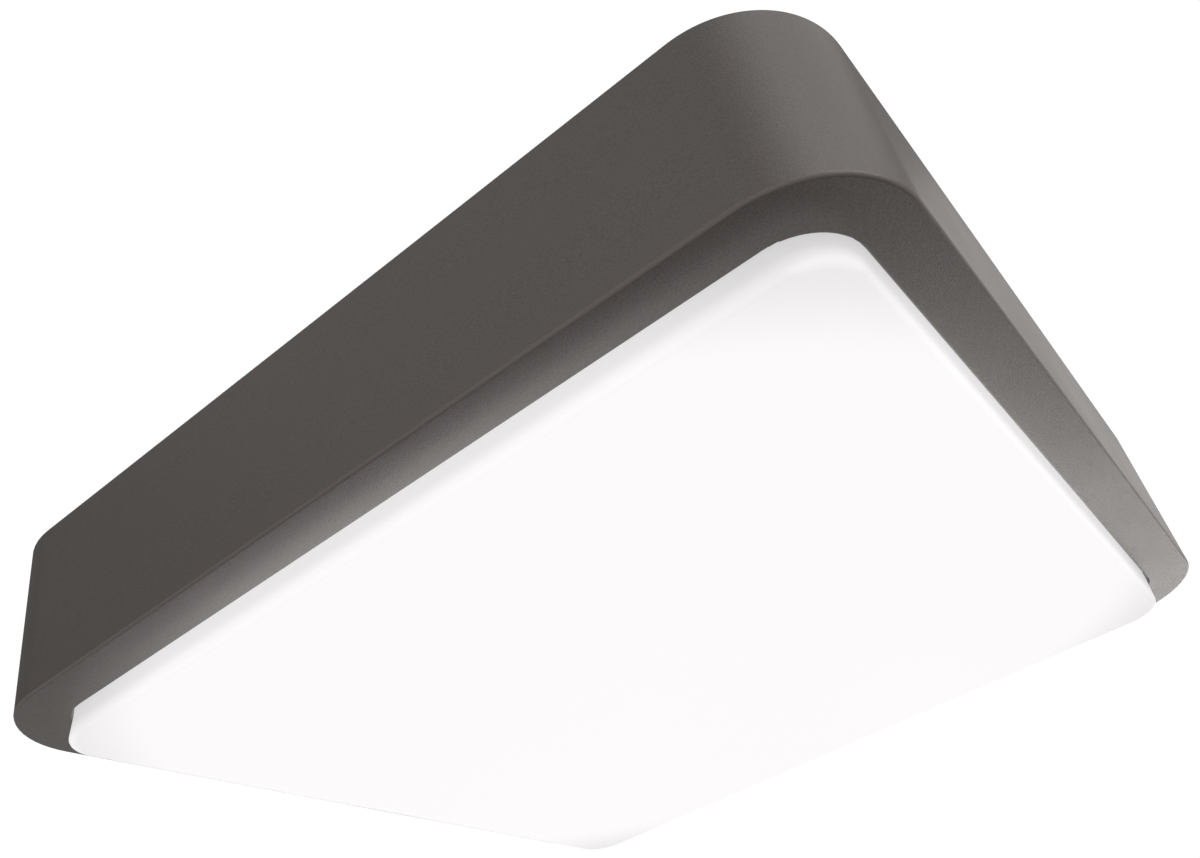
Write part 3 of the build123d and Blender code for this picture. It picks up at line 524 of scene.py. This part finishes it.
def makeEarthInsulation(spec):
    # green insulation with a yellow stripe that winds along the lead
    finish, tree, skin, place = newFinish("earthInsulation")
    bands = tree.nodes.new("ShaderNodeTexWave")
    bands.bands_direction = "DIAGONAL"
    bands.inputs["Scale"].default_value = spec["bands"]
    edge = tree.nodes.new("ShaderNodeMapRange")
    edge.inputs["From Min"].default_value, edge.inputs["From Max"].default_value = spec["stripeEdge"]
    tree.links.new(place, bands.inputs["Vector"])
    tree.links.new(bands.outputs["Fac"], edge.inputs["Value"])
    color = blendColors(tree, edge.outputs["Result"], spec["green"], spec["yellow"])
    tree.links.new(color, skin.inputs["Base Color"])
    addHaze(tree, skin, place, spec["haze"], spec["roughness"])
    return finish


# Phosphor in the LED lenses

phosphorSpec = {
    "low": (0.78, 0.55, 0.06),
    "high": (0.86, 0.66, 0.12),
    "grain": 5200.0,
    "mottle": 900.0,
    "bump": (0.1, 0.00001),
    "roughness": 0.3,
    "glow": (1.0, 0.86, 0.55),
    "glowStrength": 1.6,
}


def makePhosphor(spec):
    finish, tree, skin, place = newFinish("ledPhosphor")
    grained = useGroup(tree, grainGroup, place, Grain=spec["grain"], Mottle_Scale=spec["mottle"])
    color = blendColors(tree, grained.outputs["Mottle"], spec["low"], spec["high"])
    tree.links.new(color, skin.inputs["Base Color"])
    addBump(tree, skin, grained.outputs["Height"], *spec["bump"])
    skin.inputs["Roughness"].default_value = spec["roughness"]
    skin.inputs["Emission Color"].default_value = (*spec["glow"], 1.0)
    skin.inputs["Emission Strength"].default_value = spec["glowStrength"]
    return finish


finishes = {name: makeGrained(name, spec) for name, spec in grainedFinishes.items()}
paintEdgeHighlight(finishes["housingCoat"], edgeHighlightSpec)
finishes["opalPanel"] = makeOpal(opalSpec)
finishes["foamRubber"] = makeFoam(foamSpec)
finishes["earthInsulation"] = makeEarthInsulation(earthSpec)
finishes["ledPhosphor"] = makePhosphor(phosphorSpec)
print("finishes built:", len(finishes))

nodeFinish = {
    "housing": "housingCoat",
    "diffuser": "opalPanel",
    "diffuser_gasket": "sealRubber",
    "diffuser_clips": "zincSteel",
    "diffuser_clip_screws": "zincSteel",
    "cover_screw_left": "stainless",
    "cover_screw_right": "stainless",
    "base_plate": "baseCasting",
    "cover_rails": "zincSteel",
    "wall_gasket": "foamRubber",
    "cable_grommet": "sealRubber",
    "tray_spacers": "zincSteel",
    "gear_tray": "whiteEnamel",
    "tray_screws": "zincSteel",
    "lead_grommet": "sealRubber",
    "thermal_pad": "thermalSilicone",
    "led_board": "boardWhite",
    "led_packages": "ledWhite",
    "led_board_screws": "zincSteel",
    "led_connector": "whitePlastic",
    "driver_case": "driverPlastic",
    "driver_lid": "driverPlastic",
    "driver_board": "circuitBoard",
    "driver_transformer": "ferrite",
    "driver_choke": "ferrite",
    "driver_capacitors": "capacitorSleeve",
    "driver_screws": "zincSteel",
    "terminal_block": "whitePlastic",
    "terminal_inserts": "terminalBrass",
    "terminal_screws": "zincSteel",
    "terminal_fixing_screws": "zincSteel",
    "earth_screw": "terminalBrass",
    "earth_washer": "zincSteel",
    "earth_ring_terminal": "tinnedCopper",
    "earth_lead": "earthInsulation",
    "live_lead": "liveInsulation",
    "neutral_lead": "neutralInsulation",
    "led_lead_positive": "redInsulation",
    "led_lead_negative": "blackInsulation",
}

for nodeName, finishName in nodeFinish.items():
    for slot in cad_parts[nodeName].material_slots:
        slot.material = finishes[finishName]
print("finishes on", len(nodeFinish), "CAD nodes")


# LED board dressing: one Geometry Nodes tree that sets out equal parts on a grid facing the room

def makeGridTree():
    tree, start, end = newGroup(
        "partsOnGrid", "GeometryNodeTree",
        [("Part", "NodeSocketObject"), ("Columns", "NodeSocketInt"), ("Rows", "NodeSocketInt"),
         ("Pitch X", "NodeSocketFloat"), ("Pitch Z", "NodeSocketFloat"), ("Centre", "NodeSocketVector"),
         ("Finish", "NodeSocketMaterial")],
        [("Geometry", "NodeSocketGeometry")],
    )
    grid = tree.nodes.new("GeometryNodeMeshGrid")
    for axis, count, pitch in (("X", "Columns", "Pitch X"), ("Y", "Rows", "Pitch Z")):
        gaps = tree.nodes.new("ShaderNodeMath")
        gaps.operation = "SUBTRACT"
        gaps.inputs[1].default_value = 1.0      # one gap fewer than copies
        span = tree.nodes.new("ShaderNodeMath")
        span.operation = "MULTIPLY"
        tree.links.new(start.outputs[count], gaps.inputs[0])
        tree.links.new(gaps.outputs["Value"], span.inputs[0])
        tree.links.new(start.outputs[pitch], span.inputs[1])
        tree.links.new(span.outputs["Value"], grid.inputs["Size " + axis])
        tree.links.new(start.outputs[count], grid.inputs["Vertices " + axis])
    info = tree.nodes.new("GeometryNodeObjectInfo")
    tree.links.new(start.outputs["Part"], info.inputs["Object"])
    copies = tree.nodes.new("GeometryNodeInstanceOnPoints")
    tree.links.new(grid.outputs["Mesh"], copies.inputs["Points"])
    tree.links.new(info.outputs["Geometry"], copies.inputs["Instance"])
    lift = tree.nodes.new("GeometryNodeTransform")
    lift.inputs["Rotation"].default_value = (math.radians(90.0), 0.0, 0.0)      # from flat to upright
    tree.links.new(copies.outputs["Instances"], lift.inputs["Geometry"])
    tree.links.new(start.outputs["Centre"], lift.inputs["Translation"])
    real = tree.nodes.new("GeometryNodeRealizeInstances")
    tree.links.new(lift.outputs["Geometry"], real.inputs["Geometry"])
    coat = tree.nodes.new("GeometryNodeSetMaterial")
    tree.links.new(real.outputs["Geometry"], coat.inputs["Geometry"])
    tree.links.new(start.outputs["Finish"], coat.inputs["Material"])
    tree.links.new(coat.outputs["Geometry"], end.inputs["Geometry"])
    return tree


gridTree = makeGridTree()


def meshObject(name, mesh):
    piece = bpy.data.objects.new(name, mesh)
    bpy.context.collection.objects.link(piece)
    return piece


def setOut(name, part, spec):
    # copies of one part on a grid, turned into a plain mesh that rides on a body
    piece = meshObject(name, bpy.data.meshes.new(name))
    modifier = piece.modifiers.new("grid", "NODES")
    modifier.node_group = gridTree
    values = {
        "Part": part, "Columns": spec["columns"], "Rows": spec["rows"], "Pitch X": spec["pitchX"],
        "Pitch Z": spec["pitchZ"], "Centre": spec["centre"], "Finish": finishes[spec["finish"]],
    }
    for item in gridTree.interface.items_tree:
        if item.item_type == "SOCKET" and item.in_out == "INPUT":
            modifier[item.identifier] = values[item.name]
    graph = bpy.context.evaluated_depsgraph_get()
    mesh = bpy.data.meshes.new_from_object(piece.evaluated_get(graph))
    piece.modifiers.remove(modifier)
    piece.data = mesh
    mesh.name = name
    bpy.data.objects.remove(part)
    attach(piece, spec["body"])
    return piece


def ringAngles(count):
    return [2 * math.pi * (i + 0.5) / count for i in range(count)]


def roundRing(mesh, radius, level, count):
    return [
        mesh.verts.new((radius * math.cos(angle), radius * math.sin(angle), level))
        for angle in ringAngles(count)
    ]


def squareRing(mesh, halfX, halfY, level, count):
    # rectangle with its points at the angles of a round ring, so that the two can be joined
    ring = []
    for angle in ringAngles(count):
        x, y = math.cos(angle), math.sin(angle)
        grow = 1.0 / max(abs(x), abs(y))
        ring.append(mesh.verts.new((x * grow * halfX, y * grow * halfY, level)))
    return ring


def padRing(mesh, halfX, halfY, corner, level, steps=4):
    # rectangle with rounded corners
    ring = []
    for quarter, (signX, signY) in enumerate(((1, 1), (-1, 1), (-1, -1), (1, -1))):
        for i in range(steps + 1):
            angle = math.pi / 2 * (quarter + i / steps)
            x = signX * (halfX - corner) + corner * math.cos(angle)
            y = signY * (halfY - corner) + corner * math.sin(angle)
            ring.append(mesh.verts.new((x, y, level)))
    return ring


def closeRings(mesh, rings):
    # walls between rings of equal count that run the same way, and a face at each end
    count = len(rings[0])
    for lower, upper in zip(rings, rings[1:]):
        for i in range(count):
            j = (i + 1) % count
            mesh.faces.new((lower[i], lower[j], upper[j], upper[i]))
    mesh.faces.new(list(reversed(rings[0])))
    mesh.faces.new(rings[-1])


def partFrom(name, builder, spec):
    mesh = bmesh.new()
    builder(mesh, spec)
    bmesh.ops.recalc_face_normals(mesh, faces=list(mesh.faces))
    data = bpy.data.meshes.new(name)
    mesh.to_mesh(data)
    mesh.free()
    return meshObject(name, data)


easeKnee = 0.3      # share of an eased edge that is cut at its middle


def buildPad(mesh, spec):
    # flat plate with rounded corners and an eased top edge, on its back plane
    length, width, height = spec["size"]
    ease = spec["ease"]
    knee = ease * easeKnee
    closeRings(mesh, [
        padRing(mesh, length / 2 - inset, width / 2 - inset, spec["corner"] - inset, level)
        for inset, level in ((0.0, 0.0), (0.0, height - ease), (knee, height - knee), (ease, height))
    ])


def buildLedBody(mesh, spec):
    # white package with a round well in its top
    length, width, height = spec["size"]
    count = spec["sides"]
    rings = [
        squareRing(mesh, length / 2 - inset, width / 2 - inset, height * share, count)
        for share, inset in spec["outside"]
    ]
    well = spec["wellRadius"]
    rings.append(roundRing(mesh, well, height, count))
    rings.append(roundRing(mesh, well * spec["wellFloor"], height - spec["wellDepth"], count))
    closeRings(mesh, rings)


def buildLens(mesh, spec):
    # shallow lens that fills the well and stands a little proud
    height = spec["size"][2]
    footShare, footGap = spec["lensFoot"]
    brimShare, brimDrop = spec["lensBrim"]
    levels = [(footShare, height - spec["wellDepth"] + footGap), (brimShare, height - brimDrop)]
    levels += [(share, height + spec["domeHeight"] * rise) for share, rise in spec["dome"]]
    closeRings(mesh, [
        roundRing(mesh, spec["wellRadius"] * share, level, spec["sides"]) for share, level in levels
    ])


def buildSolder(mesh, spec):
    # a sloped solder fillet at each end of a package
    run, width, height = spec["solder"]
    for side in (-1, 1):
        inner = side * (spec["size"][0] / 2 + spec["solderGap"])
        closeRings(mesh, [
            [
                mesh.verts.new((inner + side * run * out, y * across, max(height * up, spec["solderLift"])))
                for out, across, up in spec["solderSlope"]
            ]
            for y in (-width / 2, width / 2)
        ])


ledSpec = {
    "count": 6,                                   # in a row, and rows
    "size": (0.0035, 0.0028, 0.0008),
    "outside": ((0.0, 0.0), (0.86, 0.00004), (1.0, 0.0001)),      # share of the height, and inset there
    "sides": 24,                                  # points round the package, its well and its lens
    "wellRadius": 0.00105,
    "wellDepth": 0.00022,
    "wellFloor": 0.86,                            # share of the well's radius
    "lensFoot": (0.84, 0.00002),                  # share of the well's radius, and gap to its floor
    "lensBrim": (0.97, 0.00003),                  # share of the well's radius, and depth below its rim
    "domeHeight": 0.00008,
    "dome": ((0.80, 0.45), (0.45, 0.85), (0.10, 1.0)),      # shares of the well's radius and dome's height
    "solder": (0.00062, 0.0022, 0.0003),          # run, width and height
    "solderGap": 0.00002,
    "solderLift": 0.00001,
    "solderSlope": ((0.0, 1.0, 0.0), (1.0, 1.0, 0.0), (0.35, 0.94, 0.45), (0.0, 0.9, 1.0)),      # as shares
}

ledLow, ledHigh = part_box("led_packages")
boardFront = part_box("led_board")[0][1]
ledPitch = (ledHigh[0] - ledLow[0] - ledSpec["size"][0]) / (ledSpec["count"] - 1)
ledGrid = {
    "columns": ledSpec["count"], "rows": ledSpec["count"], "pitchX": ledPitch, "pitchZ": ledPitch,
    "centre": (0.0, boardFront, 0.0), "body": "base",
}
ledBodies = setOut("ledBodies", partFrom("ledBodyUnit", buildLedBody, ledSpec),
                   {**ledGrid, "finish": "ledWhite", "slot": "led_phosphor"})
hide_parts("led_packages")
setOut("ledLenses", partFrom("ledLensUnit", buildLens, ledSpec),
       {**ledGrid, "finish": "ledPhosphor", "slot": "led_phosphor"})
setOut("ledSolder", partFrom("ledSolderUnit", buildSolder, ledSpec),
       {**ledGrid, "finish": "solderTin", "slot": "tinned_copper"})
print("LED packages set out:", ledSpec["count"] ** 2)

# Copper areas under the white mask: between the packages of a row, and from row to row at the ends
copperSpec = {
    "size": (0.0198, 0.0150, 0.00004),
    "corner": 0.0012,
    "ease": 0.00003,
}
linkSpec = {
    "size": (0.0050, 0.0400, 0.00004),
    "corner": 0.0012,
    "ease": 0.00003,
    "line": 0.0676,                                                # from the board's middle
    "sides": (("rightCopper", 1, 3), ("leftCopper", -1, 2)),       # name, side and number of links
}
copperFinish = {"finish": "trackWhite", "slot": "board_white", "body": "base"}
setOut("rowCopper", partFrom("rowCopperUnit", buildPad, copperSpec),
       {**ledGrid, **copperFinish, "columns": ledSpec["count"] - 1})
for linkName, side, links in linkSpec["sides"]:
    setOut(linkName, partFrom(linkName + "Unit", buildPad, linkSpec), {
        **copperFinish, "columns": 1, "rows": links, "pitchX": ledPitch, "pitchZ": 2 * ledPitch,
        "centre": (side * linkSpec["line"], boardFront, 0.0),
    })

# Spring contacts in the top of the plug connector
contactSpec = {
    "size": (0.0016, 0.0030, 0.00025),
    "corner": 0.0003,
    "ease": 0.0001,
    "count": 2,
    "pitch": 0.0030,
    "rise": 0.0008,      # above the plug's middle
}
plugLow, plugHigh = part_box("led_connector")
plugX = (plugLow[0] + plugHigh[0]) / 2
plugZ = (plugLow[2] + plugHigh[2]) / 2
setOut("plugContacts", partFrom("plugContactUnit", buildPad, contactSpec), {
    "columns": contactSpec["count"], "rows": 1, "pitchX": contactSpec["pitch"], "pitchZ": 0.0,
    "centre": (plugX, plugLow[1], plugZ + contactSpec["rise"]),
    "finish": "tinnedCopper", "slot": "tinned_copper", "body": "base",
})

# Ribs moulded on the lid of the driver, either side of a bare middle
lidRibSpec = {
    "size": (0.0010, 0.0360, 0.0006),
    "corner": 0.00045,
    "ease": 0.0003,
    "count": 8,
    "pitch": 0.0030,
    "line": 0.0400,      # from the lid's middle to the middle of each group
}
lidLow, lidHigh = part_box("driver_lid")
for ribName, side in (("lidRibsLeft", -1), ("lidRibsRight", 1)):
    setOut(ribName, partFrom(ribName + "Unit", buildPad, lidRibSpec), {
        "columns": lidRibSpec["count"], "rows": 1, "pitchX": lidRibSpec["pitch"], "pitchZ": 0.0,
        "centre": (side * lidRibSpec["line"], lidLow[1], (lidLow[2] + lidHigh[2]) / 2),
        "finish": "driverPlastic", "slot": "driver_plastic", "body": "base",
    })
print("board and driver dressed")


# Studio: a pale floor and an even sky that the camera sees as white, a grey card and soft boxes

studio = {
    "floor": {
        "level": -1.6, "half": 40.0, "color": (0.45, 0.45, 0.45), "haze": 0.5, "roughness": (0.85, 0.95),
    },
    "flag": {
        "place": (-0.60, 0.22, 0.27), "aim": (-0.12, 0.0, 0.12), "half": 0.22,
        "color": (0.20, 0.20, 0.20), "haze": 3.0, "roughness": (0.9, 0.98),
    },
    "sky": (0.400, 0.388, 0.381),
    "white": 1.05,                     # of floor and sky, as the camera sees them
    "warm": (1.0, 0.965, 0.940),       # colour of the soft boxes
    "softBoxes": {
        "lowBox": {
            "place": (0.30, 0.40, -1.0), "aim": (0.30, 0.40, 0.0), "size": (1.3, 1.1), "watts": 3.95,
        },
        "lowStrip": {
            "place": (0.05, -0.35, -1.0), "aim": (0.05, -0.35, 0.0), "size": (0.8, 0.36), "watts": 3.9,
        },
        "rightBox": {"place": (1.5, 0.4, 0.2), "size": (1.1, 1.1), "watts": 9.0},
        "cornerBox": {"place": (1.0, 0.5, 0.9), "size": (1.0, 1.0), "watts": 6.0},
        "backBox": {"place": (0.95, 1.08, -0.10), "size": (1.5, 1.5), "watts": 4.6},
        "topBox": {"place": (-0.3, 0.5, 1.5), "size": (1.2, 1.2), "watts": 4.5},
        "frontBox": {"place": (0.0, -1.7, 0.2), "size": (1.1, 1.1), "watts": 3.3},
        "leftBox": {"place": (-1.4, -0.7, -0.5), "size": (1.0, 1.0), "watts": 2.1},
    },
}


def makeCard(name, half, placing):
    # flat square
    corners = [(-half, -half), (half, -half), (half, half), (-half, half)]
    mesh = bpy.data.meshes.new(name)
    mesh.from_pydata([placing @ Vector((x, y, 0.0)) for x, y in corners], [], [(0, 1, 2, 3)])
    return meshObject(name, mesh)


def makeMatt(name, spec):
    finish, tree, skin, place = newFinish(name)
    addHaze(tree, skin, place, spec["haze"], spec["roughness"])
    skin.inputs["Base Color"].default_value = (*spec["color"], 1.0)
    return finish


def aimed(spec, axis):
    # stands at its place with that axis towards its aim, or towards the middle of the light
    aim = Vector(spec.get("aim", (0.0, 0.0, 0.0))) - Vector(spec["place"])
    return Matrix.Translation(spec["place"]) @ aim.to_track_quat(axis, "Y").to_matrix().to_4x4()


def whiteToCamera(tree, plain, white, out):
    # the camera sees the white shader, and all other rays the plain one
    rays = tree.nodes.new("ShaderNodeLightPath")
    either = tree.nodes.new("ShaderNodeMixShader")
    tree.links.new(rays.outputs["Is Camera Ray"], either.inputs["Fac"])
    tree.links.new(plain, either.inputs[1])
    tree.links.new(white, either.inputs[2])
    tree.links.new(either.outputs["Shader"], out.inputs["Surface"])


def makeFloor(spec, strength):
    floor = makeCard("studioFloor", spec["half"], Matrix.Translation((0.0, 0.0, spec["level"])))
    finish = makeMatt("paleFloor", spec)
    tree = finish.node_tree
    plain = tree.nodes["Principled BSDF"]
    white = tree.nodes.new("ShaderNodeEmission")
    white.inputs["Strength"].default_value = strength
    whiteToCamera(tree, plain.outputs["BSDF"], white.outputs["Emission"], tree.nodes["Material Output"])
    floor.data.materials.append(finish)


def makeSky(color, strength):
    world = bpy.data.worlds.new("studioSky")
    world.use_nodes = True
    tree = world.node_tree
    sky = tree.nodes["Background"]
    sky.inputs["Color"].default_value = (*color, 1.0)
    white = tree.nodes.new("ShaderNodeBackground")
    white.inputs["Strength"].default_value = strength
    white.inputs["Color"].default_value = (1.0, 1.0, 1.0, 1.0)
    whiteToCamera(tree, sky.outputs["Background"], white.outputs["Background"], tree.nodes["World Output"])
    bpy.context.scene.world = world


def makeFlag(spec):
    # grey card off to the left: takes some of the sky's sheen off the far end of the housing
    flag = makeCard("studioFlag", spec["half"], aimed(spec, "Z"))
    flag.data.materials.append(makeMatt("greyCard", spec))
    flag.visible_camera = False


def addSoftBox(name, spec, color):
    data = bpy.data.lights.new(name, "AREA")
    data.color = color
    data.shape = "RECTANGLE"
    data.size, data.size_y = spec["size"]
    data.energy = spec["watts"]
    box = bpy.data.objects.new(name, data)
    box.matrix_world = aimed(spec, "-Z")
    box.visible_camera = False
    bpy.context.collection.objects.link(box)


bpy.context.scene.view_settings.view_transform = "Standard"     # plain white stays white
makeFloor(studio["floor"], studio["white"])
makeSky(studio["sky"], studio["white"])
makeFlag(studio["flag"])
for boxName, boxSpec in studio["softBoxes"].items():
    addSoftBox(boxName, boxSpec, studio["warm"])
print("studio lit")
